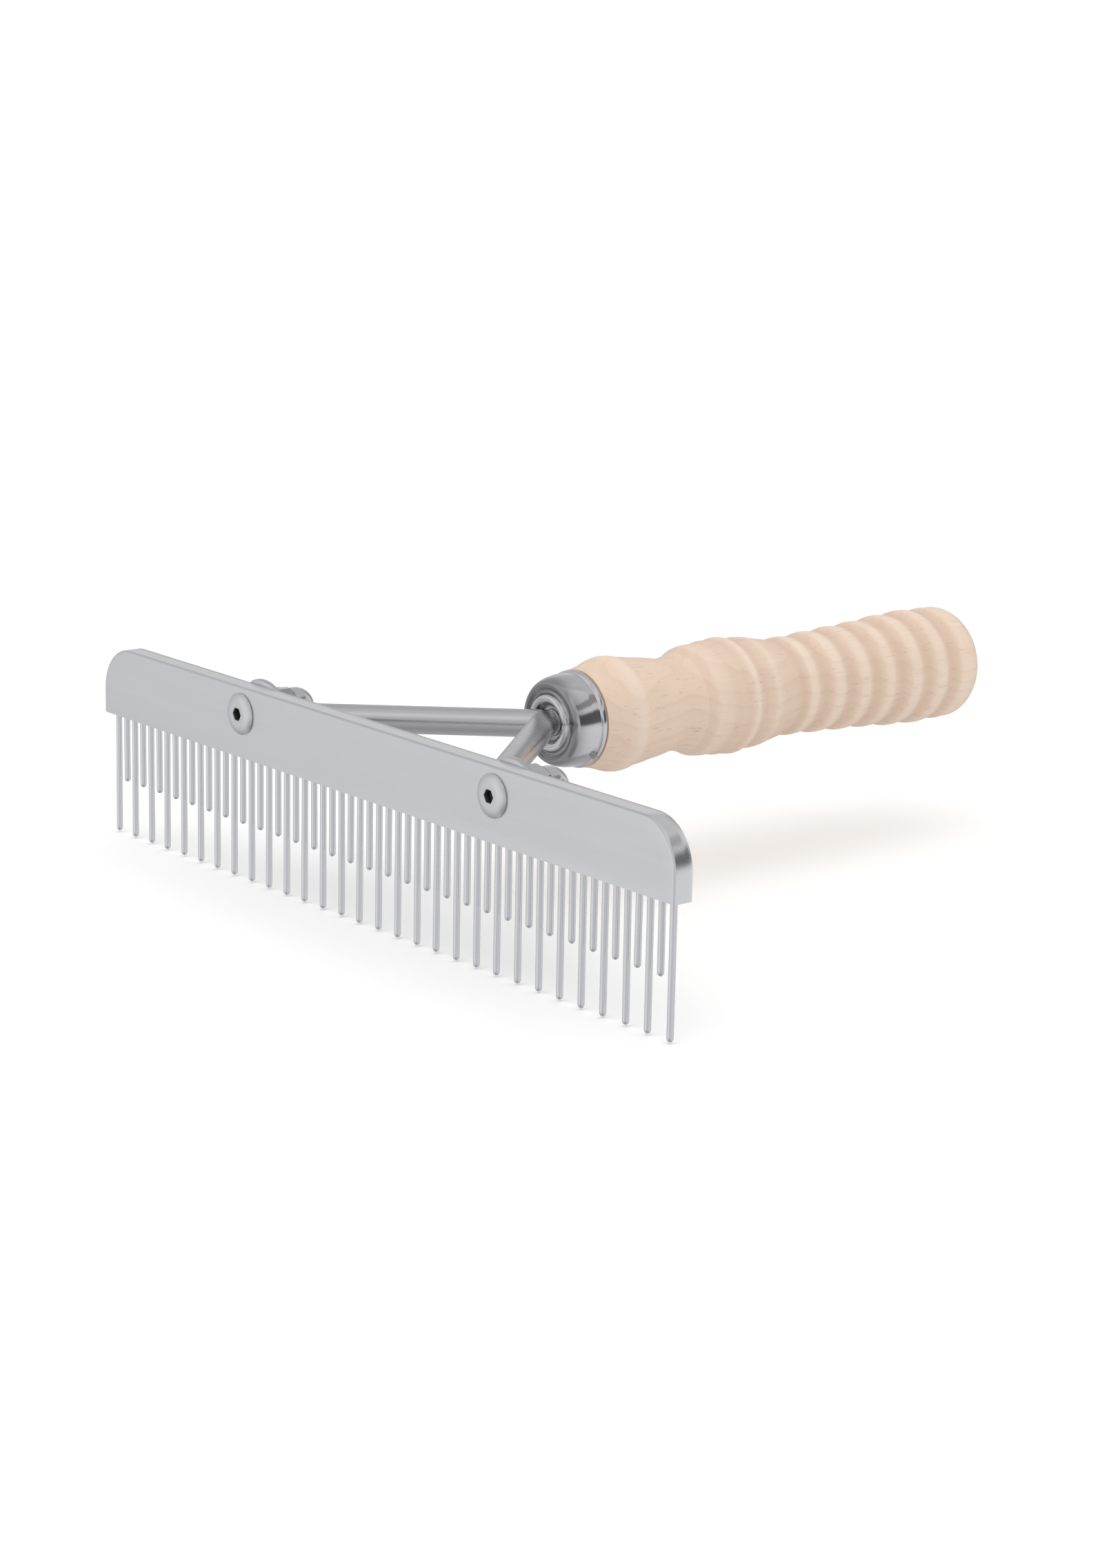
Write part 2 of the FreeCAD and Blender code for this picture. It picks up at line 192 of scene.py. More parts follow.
# ------------------------------------------------------------------ shader helpers
class Shader:
    """Builds nodes in a tree; every value may be a number, a colour or a socket."""

    def __init__(self, tree):
        self.tree = tree
        tree.nodes.clear()

    def put(self, socket, value):
        if isinstance(value, bpy.types.NodeSocket):
            self.tree.links.new(value, socket)
        else:
            socket.default_value = value

    def node(self, kind, inputs=None, **settings):
        node = self.tree.nodes.new("ShaderNode" + kind)
        for key, value in settings.items():
            setattr(node, key, value)
        for key, value in (inputs or {}).items():
            self.put(node.inputs[key], value)
        return node

    def math(self, operation, a, b=None, clamp=False):
        inputs = {0: a} if b is None else {0: a, 1: b}
        return self.node("Math", inputs, operation=operation, use_clamp=clamp).outputs[0]

    def plus(self, total, term, factor, clamp=False):
        return self.math("ADD", total, self.math("MULTIPLY", term, factor), clamp)

    def minus(self, total, term, factor, clamp=False):
        return self.math("SUBTRACT", total, self.math("MULTIPLY", term, factor), clamp)

    def vary(self, base, noise, swing, clamp=False):
        """Moves base up and down by half of swing, as the noise moves about 0.5."""
        return self.plus(base, self.math("SUBTRACT", noise, 0.5), swing, clamp)

    def ramp(self, factor, stops):
        """Grey ramp through (position, value) stops."""
        node = self.node("ValToRGB")
        elements = node.color_ramp.elements
        while len(elements) > 1:
            elements.remove(elements[-1])
        for i, (position, value) in enumerate(stops):
            stop = elements[0] if i == 0 else elements.new(position)
            stop.position = position
            stop.color = (value, value, value, 1)
        self.put(node.inputs["Fac"], factor)
        return node.outputs["Color"]

    def range(self, value, low, high, to_low=0.0, to_high=1.0, interpolation="LINEAR"):
        inputs = {0: value, 1: low, 2: high, 3: to_low, 4: to_high}
        return self.node("MapRange", inputs, interpolation_type=interpolation).outputs[0]

    def mix(self, factor, a, b, blend="MIX"):
        def colour(value):
            return value if isinstance(value, bpy.types.NodeSocket) else (*value, 1)
        return self.node("Mix", data_type="RGBA", blend_type=blend) and self._mixed(
            factor, colour(a), colour(b))

    def layer(self, colour, mask, amount, over):
        """Lays the colour `over` on top, where the mask is set, by amount."""
        return self.mix(self.math("MULTIPLY", mask, amount), colour, over)

    def _mixed(self, factor, a, b):
        node = self.tree.nodes[-1]
        for index, value in ((0, factor), (6, a), (7, b)):
            self.put(node.inputs[index], value)
        return node.outputs[2]

    def axis(self, vector, index):
        return self.node("SeparateXYZ", {0: vector}).outputs[index]


class Material(Shader):
    """A Principled material with object coordinates at hand."""

    def __init__(self, name):
        self.mat = bpy.data.materials.new(name)
        self.mat.use_nodes = True
        super().__init__(self.mat.node_tree)
        out = self.node("OutputMaterial")
        self.bsdf = self.node("BsdfPrincipled")
        self.put(out.inputs["Surface"], self.bsdf.outputs[0])
        self.co = self.node("TexCoord").outputs["Object"]

    def stretched(self, scale, location=(0, 0, 0)):
        """Object coordinates (metres) scaled per axis, then moved."""
        inputs = {"Vector": self.co, "Location": location, "Scale": scale}
        return self.node("Mapping", inputs).outputs[0]

    def noise(self, vector, scale=1.0, detail=2.0, rough=0.5):
        inputs = {"Vector": vector, "Scale": scale, "Detail": detail, "Roughness": rough}
        return self.node("TexNoise", inputs).outputs["Fac"]

    def bump(self, height, strength, distance, normal=None):
        inputs = {"Strength": strength, "Distance": distance, "Height": height}
        if normal is not None:
            inputs["Normal"] = normal
        return self.node("Bump", inputs).outputs[0]

    def attribute(self, name):
        return self.node("Attribute", attribute_name=name).outputs["Fac"]

    def surface(self, **inputs):
        """Sets Principled inputs; underscores stand for spaces."""
        for key, value in inputs.items():
            self.put(self.bsdf.inputs[key.replace("_", " ")], value)


def mix_node(self, factor, a, b, blend="MIX"):
    """Colour mix of a and b, each a colour or a socket."""
    node = self.node("Mix", data_type="RGBA", blend_type=blend)
    self.put(node.inputs[0], factor)
    for index, value in ((6, a), (7, b)):
        is_socket = isinstance(value, bpy.types.NodeSocket)
        self.put(node.inputs[index], value if is_socket else (*value, 1))
    return node.outputs[2]


Shader.mix = mix_node
del Shader._mixed


# ------------------------------------------------------------------ materials
BLACK_TO_WHITE = [(0.0, 0.0), (1.0, 1.0)]


def metal(name, base, rough, grain, grain_rough, bump, tint, smudge,
          wear=0.0, spots=0.0, painted_shade=None):
    """Plated or brushed metal with stretched grain, broad smudges and fine pits.

    grain: noise scale per axis; grain_rough, smudge: swing of roughness either way;
    tint: swing of brightness; wear: darker patches; spots: strength of the pits;
    painted_shade: (point attribute, colour, added roughness) of painted shade laid over the metal
    in its recesses.
    """
    s = Material(name)
    fine = s.noise(s.stretched(grain), detail=4.0, rough=0.62)
    broad = s.noise(s.co, scale=70.0)
    cells = s.node("TexVoronoi", {"Vector": s.co, "Scale": 900.0}).outputs["Distance"]
    roughness = s.vary(rough, fine, grain_rough * 2)
    roughness = s.vary(roughness, broad, smudge * 2, clamp=True)
    pit = s.range(cells, low=0.0, high=0.16, to_low=1.0, to_high=0.0)
    pit_patches = s.noise(s.co, scale=260.0, detail=1.0)
    pit = s.math("MULTIPLY", pit, s.range(pit_patches, low=0.56, high=0.7))
    roughness = s.plus(roughness, pit, spots, clamp=True)
    shade = s.vary(1.0, fine, tint * 2)
    shade = s.minus(shade, pit, spots * 0.5)
    colour = s.mix(1.0, base, s.ramp(shade, BLACK_TO_WHITE), "MULTIPLY")
    if wear:
        patches = s.range(broad, low=0.55, high=0.75, to_high=wear)
        colour = s.mix(patches, colour, tuple(c * 0.8 for c in base))
    normal = s.bump(fine, strength=bump, distance=0.00006)
    normal = s.bump(pit, strength=0.15 if spots else 0.0, distance=0.00003, normal=normal)
    # Painted shade: a dark colour mixed in where the point attribute is set, standing in for
    # shade in recesses, with added roughness.
    if painted_shade:
        attribute, painted_shade_colour, painted_shade_rough = painted_shade
        mask = s.attribute(attribute)
        colour = s.mix(mask, colour, painted_shade_colour)
        roughness = s.plus(roughness, mask, painted_shade_rough, clamp=True)
    s.surface(Base_Color=colour, Metallic=1.0, Roughness=roughness, Normal=normal)
    return s.mat


def head_material():
    """Satin sheet brushed along x, with a brighter turned edge."""
    s = Material("satin_head_sheet")
    fine = s.noise(s.stretched((60.0, 2600.0, 2600.0)), detail=4.0, rough=0.6)
    streaks = s.noise(s.stretched((14.0, 500.0, 500.0)))
    broad = s.noise(s.co, scale=45.0)
    facing_y = s.math("ABSOLUTE", s.axis(s.node("NewGeometry").outputs["Normal"], 1))
    flange = s.range(facing_y, low=0.25, high=0.75, to_low=1.0, to_high=0.0)
    roughness = s.vary(0.36, fine, swing=0.16)
    roughness = s.vary(roughness, broad, swing=0.10)
    roughness = s.minus(roughness, flange, factor=0.11, clamp=True)
    tone = s.vary(0.97, streaks, swing=0.05)
    tone = s.vary(tone, fine, swing=0.06)
    sheet_colour, edge_colour = (0.805, 0.810, 0.824), (0.93, 0.935, 0.945)
    base = s.mix(flange, sheet_colour, edge_colour)
    colour = s.mix(1.0, base, s.ramp(tone, BLACK_TO_WHITE), "MULTIPLY")
    normal = s.bump(fine, strength=0.05, distance=0.00005)
    normal = s.bump(broad, strength=0.05, distance=0.0002, normal=normal)
    s.surface(Base_Color=colour, Metallic=1.0, Roughness=roughness, Normal=normal)
    return s.mat


def wood_material():
    """Pale hardwood: growth rings about a pith beside the handle, fibres along y."""
    s = Material("turned_pale_hardwood")
    in_mm = s.stretched((1000.0, 1000.0, 1000.0))
    x, y, z = (s.axis(in_mm, index) for index in range(3))
    warp = s.noise(s.stretched((38.0, 5.0, 38.0)))
    fine_warp = s.noise(s.stretched((160.0, 14.0, 160.0)))

    # distance from the pith, bent by the warps and drifting along the handle
    pith_x, pith_z = -21.0, -34.0
    dx, dz = s.math("ADD", x, -pith_x), s.math("ADD", z, -pith_z)
    squares = s.math("ADD", s.math("MULTIPLY", dx, dx), s.math("MULTIPLY", dz, dz))
    distance = s.math("SQRT", squares)
    distance = s.plus(distance, warp, factor=9.0)
    distance = s.plus(distance, fine_warp, factor=1.2)
    distance = s.plus(distance, y, factor=0.035)
    ring_spacing = 2.3
    ring = s.math("FRACT", s.math("DIVIDE", distance, ring_spacing))
    latewood = s.ramp(ring, [(0.0, 0.0), (0.55, 0.12), (0.86, 0.75), (0.95, 1.0), (1.0, 0.0)])

    fibre = s.noise(s.stretched((3200.0, 70.0, 3200.0)), detail=4.0, rough=0.65)
    ray = s.noise(s.stretched((420.0, 32.0, 1900.0)))
    pores = s.noise(s.stretched((1500.0, 85.0, 1500.0), location=(3.1, 0.7, 1.9)))
    pore = s.range(pores, low=0.64, high=0.72)
    tone = s.noise(s.stretched((60.0, 16.0, 60.0), location=(9.0, 2.0, 5.0)),
                   detail=3.0, rough=0.55)
    pale, mid, warm = (0.785, 0.626, 0.494), (0.702, 0.530, 0.398), (0.738, 0.547, 0.432)
    colour = s.layer(pale, latewood, 0.55, over=mid)
    colour = s.mix(s.range(tone, low=0.35, high=0.7, to_high=0.5), colour, warm)
    colour = s.layer(colour, s.range(fibre, low=0.35, high=0.75), 0.22,
                     over=(0.585, 0.425, 0.315))
    colour = s.layer(colour, s.range(ray, low=0.58, high=0.72), 0.20, over=(0.82, 0.68, 0.565))
    colour = s.layer(colour, pore, 0.38, over=(0.42, 0.285, 0.195))
    # painted shade darkens the turned valleys, painted highlight pales the crests
    colour = s.layer(colour, s.attribute("valley"), 0.45, over=(0.54, 0.375, 0.270))
    colour = s.layer(colour, s.attribute("crest"), 0.30, over=(0.84, 0.715, 0.61))

    lathe_lines = s.noise(s.stretched((2.0, 1500.0, 2.0)), detail=3.0, rough=0.6)
    height = s.plus(s.math("MULTIPLY", fibre, 0.55), lathe_lines, factor=0.45)
    height = s.minus(height, pore, factor=0.8)
    height = s.minus(height, latewood, factor=0.15)
    roughness = s.vary(0.50, fibre, swing=0.22)
    roughness = s.plus(roughness, pore, factor=0.15, clamp=True)
    s.surface(Base_Color=colour, Roughness=roughness,
              Normal=s.bump(height, strength=0.28, distance=0.00012),
              Coat_Weight=0.10, Coat_Roughness=0.35, Specular_IOR_Level=0.42)
    return s.mat


MATERIALS = {
    "head": head_material(),
    "wood": wood_material(),
    "bar": metal("milled_bar", base=(0.66, 0.66, 0.67), rough=0.34, grain=(2400.0, 120.0, 2400.0),
                 grain_rough=0.10, bump=0.10, tint=0.06, smudge=0.06, spots=0.2),
    "pin": metal("polished_pin_wire", base=(0.79, 0.80, 0.82), rough=0.20,
                 grain=(3000.0, 3000.0, 160.0),
                 grain_rough=0.06, bump=0.05, tint=0.03, smudge=0.05),
    # The screw paints near-black shade into its hex socket through the socket attribute.
    "screw": metal("nickel_screw", base=(0.745, 0.75, 0.76), rough=0.29,
                   grain=(1800.0, 300.0, 1800.0),
                   grain_rough=0.06, bump=0.08, tint=0.04, smudge=0.06, spots=0.2,
                   painted_shade=("socket", (0.07, 0.07, 0.075), 0.35)),
    "spacer": metal("turned_spacer", base=(0.62, 0.62, 0.63), rough=0.32,
                    grain=(300.0, 4200.0, 300.0),
                    grain_rough=0.12, bump=0.12, tint=0.06, smudge=0.06, spots=0.15),
    "rod": metal("bright_drawn_rod", base=(0.72, 0.72, 0.725), rough=0.25,
                 grain=(900.0, 900.0, 2600.0),
                 grain_rough=0.05, bump=0.06, tint=0.04, smudge=0.06, wear=0.2, spots=0.08),
    "washer": metal("spring_washer_steel", base=(0.60, 0.60, 0.61), rough=0.30,
                    grain=(1600.0, 1600.0, 1600.0),
                    grain_rough=0.10, bump=0.12, tint=0.06, smudge=0.06, spots=0.25),
    "nut": metal("chromed_nut", base=(0.76, 0.76, 0.775), rough=0.11,
                 grain=(260.0, 3600.0, 260.0),
                 grain_rough=0.04, bump=0.03, tint=0.03, smudge=0.05, spots=0.15),
    # The ferrule paints shade into its stepped front and inside wall through its point attribute.
    "ferrule": metal("chromed_ferrule", base=(0.79, 0.78, 0.80), rough=0.12,
                     grain=(200.0, 5200.0, 200.0),
                     grain_rough=0.04, bump=0.035, tint=0.03, smudge=0.06, spots=0.15,
                     painted_shade=("painted_shade", (0.16, 0.155, 0.16), 0.10)),
    "brad": metal("brad_head_steel", base=(0.52, 0.51, 0.50), rough=0.26,
                  grain=(2200.0, 2200.0, 2200.0),
                  grain_rough=0.10, bump=0.12, tint=0.06, smudge=0.06, spots=0.25),
}

# CAD piece: material
CAD_MATERIALS = {
    "head_back_plate": "head", "pin_bar": "bar", "spacer_left": "spacer",
    "spacer_right": "spacer", "fork_tang": "rod", "lock_washer_left": "washer",
    "lock_washer_right": "washer", "ferrule_brads": "brad", "cap_nut_left": "nut",
    "cap_nut_right": "nut", "ferrule": "ferrule", "fork_leg_left": "rod",
    "fork_leg_right": "rod", "handle_grip": "wood", "head_front_shell": "head",
    "long_pins": "pin", "short_pins": "pin", "screw_left": "screw", "screw_right": "screw",
}
for node_name, key in CAD_MATERIALS.items():
    piece = frame["nodes"][node_name]
    for i in range(len(piece.material_slots)):
        piece.material_slots[i].link = "DATA"
        piece.data.materials[i] = MATERIALS[key]


# ------------------------------------------------------------------ handle
# Front part of the handle: (y, radius)
GRIP_OUTLINE = [
    (63.55, 12.25), (65.3, 12.65), (68, 13.31), (70.6, 14.2), (72.8, 14.6), (74.6, 14.45),
    (76.2, 14), (78.2, 13.75), (81.5, 13.25), (85.4, 12.75), (89, 12.1), (91.4, 11.85),
    (93.6, 12.1), (95.8, 12.7), (97.4, 13.25), (98.6, 13.9), (99.9, 14.2), (102.2, 14.3),
    (104, 14.35), (105.6, 14.65), (107, 14.65), (108.4, 14.6), (109.6, 14.9), (111, 15.1),
    (112.2, 14.75), (113.6, 14.4), (116, 14.4), (118.6, 14.3), (121, 13.8), (124, 13.2),
    (126.8, 12.65), (129.2, 12.35),
]
CREST_RADII = [12.9, 13.3, 13.7, 14.1, 14.75, 15.15, 14.95]     # ridges, front to back
FIRST_CREST_Y = 132.0
CREST_PITCH = 8.75
VALLEY_DROP = 0.71          # valley below the mean of its two crests
# Rounded butt: (y, radius)
BUTT_OUTLINE = [
    (187.5, 14.8), (188.9, 14.3), (190.2, 13.4), (191.3, 12.1), (192.3, 10.4),
    (193.15, 8.2), (193.8, 5.6), (194.2, 2.8), (194.3, 0.0),
]
# Bore along the axis and reduced neck at the front: (radius, y)
BORE_AND_NECK = [(0.0, 121.9), (3.3, 121.9), (3.3, 56.05), (9.65, 56.05), (10.9, 57.55),
                 (10.9, 63.55)]
HANDLE_SEGMENTS = 200


def handle_outline():
    """(y, radius) samples of the whole outer outline."""
    curve = list(GRIP_OUTLINE)
    for k, crest in enumerate(CREST_RADII):
        y = FIRST_CREST_Y + k * CREST_PITCH
        curve += [(y - 1.5, crest - 0.14), (y, crest), (y + 1.6, crest - 0.12)]
        if k + 1 < len(CREST_RADII):
            valley = 0.5 * (crest + CREST_RADII[k + 1]) - VALLEY_DROP
            middle = y + CREST_PITCH / 2
            curve += [(middle - 0.5, valley), (middle + 0.5, valley)]
    points = spline(curve + BUTT_OUTLINE, 0.24)
    points[-1] = BUTT_OUTLINE[-1]
    return points[:, 0], np.maximum(points[:, 1], 0.0)


def ridge_tones(ys, radii):
    """How far each sample lies in a valley and on a crest, 0 to 1; these weights paint shade into
    the valleys and highlight onto the crests.
    """
    reach = 5.2             # looks over about one ridge
    high = np.array([radii[np.abs(ys - y) < reach].max() for y in ys])
    low = np.array([radii[np.abs(ys - y) < reach].min() for y in ys])
    span = np.maximum(high - low, 0.25)
    valley = np.clip((high - radii) / span, 0, 1) * np.clip((high - low) / 0.5, 0, 1)
    crest = np.clip(1 - (high - radii) / (0.35 * span), 0, 1)
    butt = ys > 187.0
    valley[butt] = 0
    crest[butt] = 0.2
    valley[ys < 96] *= 0.35
    return valley, crest


def turning_marks(ys, radii):
    """Shallow grooves of uneven depth and pitch, fading towards the axis."""
    marks = np.zeros(len(ys))
    y = 66.0
    while y < 192.0:
        width = rng.uniform(0.16, 0.34)
        marks -= rng.uniform(0.006, 0.03) * np.exp(-((ys - y) / width) ** 2)
        y += rng.uniform(0.55, 1.5)
    return marks * np.clip(radii / 6.0, 0, 1)


def handle():
    ys, radii = handle_outline()
    valley, crest = ridge_tones(ys, radii)
    turned = np.maximum(radii + turning_marks(ys, radii), 0.0)
    phase = rng.uniform(0, 6.28, 12)

    def place(radius, y, angle):
        """Slightly out of round on the outside; the bore and neck stay true."""
        if radius > 11.0 or y > 188:
            oval = (0.035 * math.cos(2 * angle + phase[0] + y * 0.012)
                    + 0.02 * math.cos(3 * angle + phase[1] - y * 0.03))
            drift = 0.8 * math.sin(y * 0.11 + phase[3])
            fine_drift = 0.6 * math.sin(y * 0.23)
            facets = (0.010 * math.cos(9 * angle + phase[2] + drift)
                      + 0.006 * math.cos(17 * angle + phase[4] + fine_drift))
            radius += min(1.0, radius / 8.0) * (oval + facets)
        return around_axis(radius, angle, y)

    profile = BORE_AND_NECK + list(zip(turned, ys))
    ob = make("turned_wooden_handle", lathe(profile, HANDLE_SEGMENTS, place),
              MATERIALS["wood"], "handle_grip", sharp=50)
    counts = [1 if radius < ON_AXIS else HANDLE_SEGMENTS for radius, y in profile]
    inside = np.zeros(len(BORE_AND_NECK))
    # The valley and crest weights are painted shade and painted highlight for the wood.
    for name, tone in (("valley", valley), ("crest", crest)):
        point_attribute(ob, name, np.repeat(np.concatenate([inside, tone]), counts))


handle()


# ------------------------------------------------------------------ ferrule
FERRULE_Y = 53.5
FERRULE_RADIUS = 11.7
FERRULE_SEGMENTS = 224
# Stepped front: (radius, y from FERRULE_Y, painted shade in the step)
FERRULE_FRONT = [
    (3.45, 2.05, 0.35), (4.15, 1.95, 0.55), (4.75, 1.3, 0.55), (5.35, 0.4, 0.10),
    (6.25, -0.05, 0.00), (7.1, 0.5, 0.12), (7.6, 1.35, 0.60), (8.25, 1.4, 0.78),
    (9.0, 0.8, 0.76), (9.9, 0.85, 0.70), (10.6, 1.5, 0.52), (11.1, 2.6, 0.32),
    (11.45, 4.0, 0.10), (FERRULE_RADIUS, 6.0, 0.0),
]
# Rear lip and inside wall, back to the front hole: (radius, y)
FERRULE_INSIDE = [(11.3, 63.52), (10.95, 63.45), (10.92, 62.0), (10.92, 57.5), (9.7, 56.0),
                  (3.45, 56.0)]
BEAD_START, BEAD_HALF_WIDTH, BEAD_HEIGHT = 61.6, 0.95, 0.6


def ferrule():
    front = [(radius, FERRULE_Y + y) for radius, y, painted_shade in FERRULE_FRONT]
    profile = [tuple(point) for point in spline(front, 0.16)]
    profile += [(FERRULE_RADIUS + 0.012 * math.sin(1.9 * y), y)
                for y in np.arange(FERRULE_Y + 6.3, 61.5, 0.4)]
    # the bead at the rear is a circular arc
    arc = (BEAD_HALF_WIDTH ** 2 + BEAD_HEIGHT ** 2) / (2 * BEAD_HEIGHT)
    for k in range(13):
        from_middle = 2 * BEAD_HALF_WIDTH * k / 12 - BEAD_HALF_WIDTH
        rise = math.sqrt(max(0, arc * arc - from_middle ** 2)) - (arc - BEAD_HEIGHT)
        profile.append((FERRULE_RADIUS + rise, BEAD_START + BEAD_HALF_WIDTH + from_middle))
    profile += FERRULE_INSIDE

    def place(radius, y, angle):
        if radius > 10.9:
            radius += 0.018 * math.cos(3 * angle + 1.0) + 0.010 * math.cos(5 * angle + y)
        return around_axis(radius, angle, y)

    ob = make("spun_ferrule", lathe(profile, FERRULE_SEGMENTS, place, closed=True),
              MATERIALS["ferrule"], "ferrule", sharp=42)

    painted_shade_radii, _, painted_shade_values = zip(*FERRULE_FRONT)

    # Painted shade: the stepped front takes the table's last column, the inside wall behind the
    # mouth takes 0.8.
    def painted_shade_at(radius, y):
        if y < FERRULE_Y + 5.9 and radius < 11.72:
            return float(np.interp(radius, painted_shade_radii, painted_shade_values))
        return 0.8 if radius < 11.2 and y > FERRULE_Y + 2.5 else 0.0

    painted_shade = [painted_shade_at(radius, y) for radius, y in profile]
    point_attribute(ob, "painted_shade", np.repeat(painted_shade, FERRULE_SEGMENTS))


ferrule()


# ------------------------------------------------------------------ pins
PIN_ROW_LENGTH = 222.7
LONG_PIN_COUNT = 30
PIN_PITCH = PIN_ROW_LENGTH / (LONG_PIN_COUNT - 1)
PIN_RADIUS = 0.8
PIN_TIP_HEIGHT = 0.95
# Flare where the pin meets the bar, and the hidden root: (radius, z)
PIN_ROOT = [(0.815, -18.16), (0.93, -18.06), (0.985, -17.99), (PIN_RADIUS, -17.98),
            (PIN_RADIUS, -12.45), (0.0, -12.4)]


def pin(x, length):
    """One pin, slightly uneven in length, lean and thickness."""
    tip = HEAD_BOTTOM - length + rng.uniform(0.0, 0.12)
    lean_x, lean_y = rng.normal(0, 0.0022), rng.normal(0, 0.0022)
    profile = [(0.0, tip)]
    for k in range(1, 8):
        a = math.pi / 2 * k / 7
        profile.append((PIN_RADIUS * math.sin(a), tip + PIN_TIP_HEIGHT * (1 - math.cos(a))))
    profile += [(PIN_RADIUS + rng.normal(0, 0.003), z)
                for z in np.linspace(tip + 1.5, HEAD_BOTTOM - 0.35, 9)]

    def place(radius, z, angle):
        below = min(0.0, z - HEAD_BOTTOM)
        return (x + lean_x * below + radius * math.cos(angle),
                lean_y * below + radius * math.sin(angle), z)

    return lathe(profile + PIN_ROOT, 22, place)


def pins(name, node, count, first_x, length):
    verts, faces = [], []
    for i in range(count):
        pin_verts, pin_faces = pin(first_x + i * PIN_PITCH, length)
        # turned about z, so the winding is reversed from the first corner
        faces += [tuple(len(verts) + j for j in (face[0], *face[:0:-1])) for face in pin_faces]
        verts += pin_verts
    make(name, (verts, faces), MATERIALS["pin"], node, sharp=50)


pins("long_comb_pins", "long_pins", LONG_PIN_COUNT, -PIN_ROW_LENGTH / 2, length=32.0)
pins("short_comb_pins", "short_pins", LONG_PIN_COUNT - 1,
     -PIN_ROW_LENGTH / 2 + PIN_PITCH / 2, length=18.0)


# ------------------------------------------------------------------ head front shell
CORNER_RADIUS = 11.5
FRONT_FILLET = 0.8
HOLE_SEGMENTS = 40
# Wall section from the inside, round the rear edge, to the front fillet: (inset, y)
WALL_SECTION = [(0.9, -1.62), (0.9, 2.45), (0.84, 2.54), (0.74, 2.58), (0.16, 2.58),
                (0.06, 2.54), (0.0, 2.44), (0.0, 0.6), (0.0, HEAD_FRONT + FRONT_FILLET)]


def head_outline():
    """Outer outline from lower left over the top to lower right: (x, z, normal x, normal z)."""
    centre_x = HEAD_HALF - CORNER_RADIUS

    def corner(x, start):
        angles = [start - math.pi / 2 * k / 24 for k in range(1, 24)]
        return [(x + CORNER_RADIUS * math.cos(a), -CORNER_RADIUS + CORNER_RADIUS * math.sin(a),
                 math.cos(a), math.sin(a)) for a in angles]

    outline = [(-HEAD_HALF, z, -1, 0) for z in np.linspace(HEAD_BOTTOM, -CORNER_RADIUS, 5)]
    outline += corner(-centre_x, math.pi)
    outline += [(x, 0.0, 0, 1) for x in np.linspace(-centre_x, centre_x, 61)]
    outline += corner(centre_x, math.pi / 2)
    outline += [(HEAD_HALF, z, 1, 0) for z in np.linspace(-CORNER_RADIUS, HEAD_BOTTOM, 5)]
    return outline


def hole_distance(x, z):
    """Distance to the centre of the nearer screw hole."""
    return math.hypot(abs(x) - HOLE_X, z - AXIS_Z)


def fill_sheet(verts, faces, rim, y, flip, ripple):
    """Fills the flat sheet inside the rim vertices, leaving the two screw holes open.

    Returns {hole point number: vertex}, left hole first.
    """
    points = [(verts[j][0], verts[j][2]) for j in rim]
    rim_count = len(points)
    edges = [(k, (k + 1) % rim_count) for k in range(rim_count)]
    for side in (-1, 1):
        start = len(points)
        for k in range(HOLE_SEGMENTS):
            angle = 2 * math.pi * k / HOLE_SEGMENTS
            points.append((side * HOLE_X + HOLE_RADIUS * math.cos(angle),
                           AXIS_Z + HOLE_RADIUS * math.sin(angle)))
        edges += [(start + k, start + (k + 1) % HOLE_SEGMENTS) for k in range(HOLE_SEGMENTS)]
    for x in np.arange(-110, 111, 4.0):
        for z in (-3.2, -7.0, -10.6, -14.4):
            if hole_distance(x, z) > 4.2 and not (abs(x) > 104 and z > -6):
                points.append((x, z))

    flat, _, triangles, sources, _, _ = delaunay_2d_cdt(
        [Vector(p) for p in points], edges, [], 0, 1e-5)
    vertex, hole_loop, hole_of = {}, {}, {}
    for j, (x, z) in enumerate(flat):
        source = sources[j][0] if sources[j] else None
        if source is not None and source < rim_count:
            vertex[j] = rim[source]
            continue
        from_edge = clamp01(min(HEAD_HALF - 1 - abs(x), -1.0 - z) / 4.0)
        wave = from_edge * clamp01((hole_distance(x, z) - 5.5) / 4.0)
        vertex[j] = len(verts)
        verts.append((x, y + wave * ripple(x, z), z))
        if source is not None and source < rim_count + 2 * HOLE_SEGMENTS:
            hole_loop[source - rim_count] = vertex[j]
            hole_of[j] = (source - rim_count) // HOLE_SEGMENTS
    for triangle in triangles:
        centre = sum((flat[j] for j in triangle), Vector((0, 0))) / len(triangle)
        holes = {hole_of.get(j) for j in triangle}
        spans_hole = len(holes) == 1 and None not in holes
        if spans_hole or hole_distance(centre.x, centre.y) < 3.1:
            continue
        faces.append(tuple(vertex[j] for j in (reversed(triangle) if flip else triangle)))
    return hole_loop


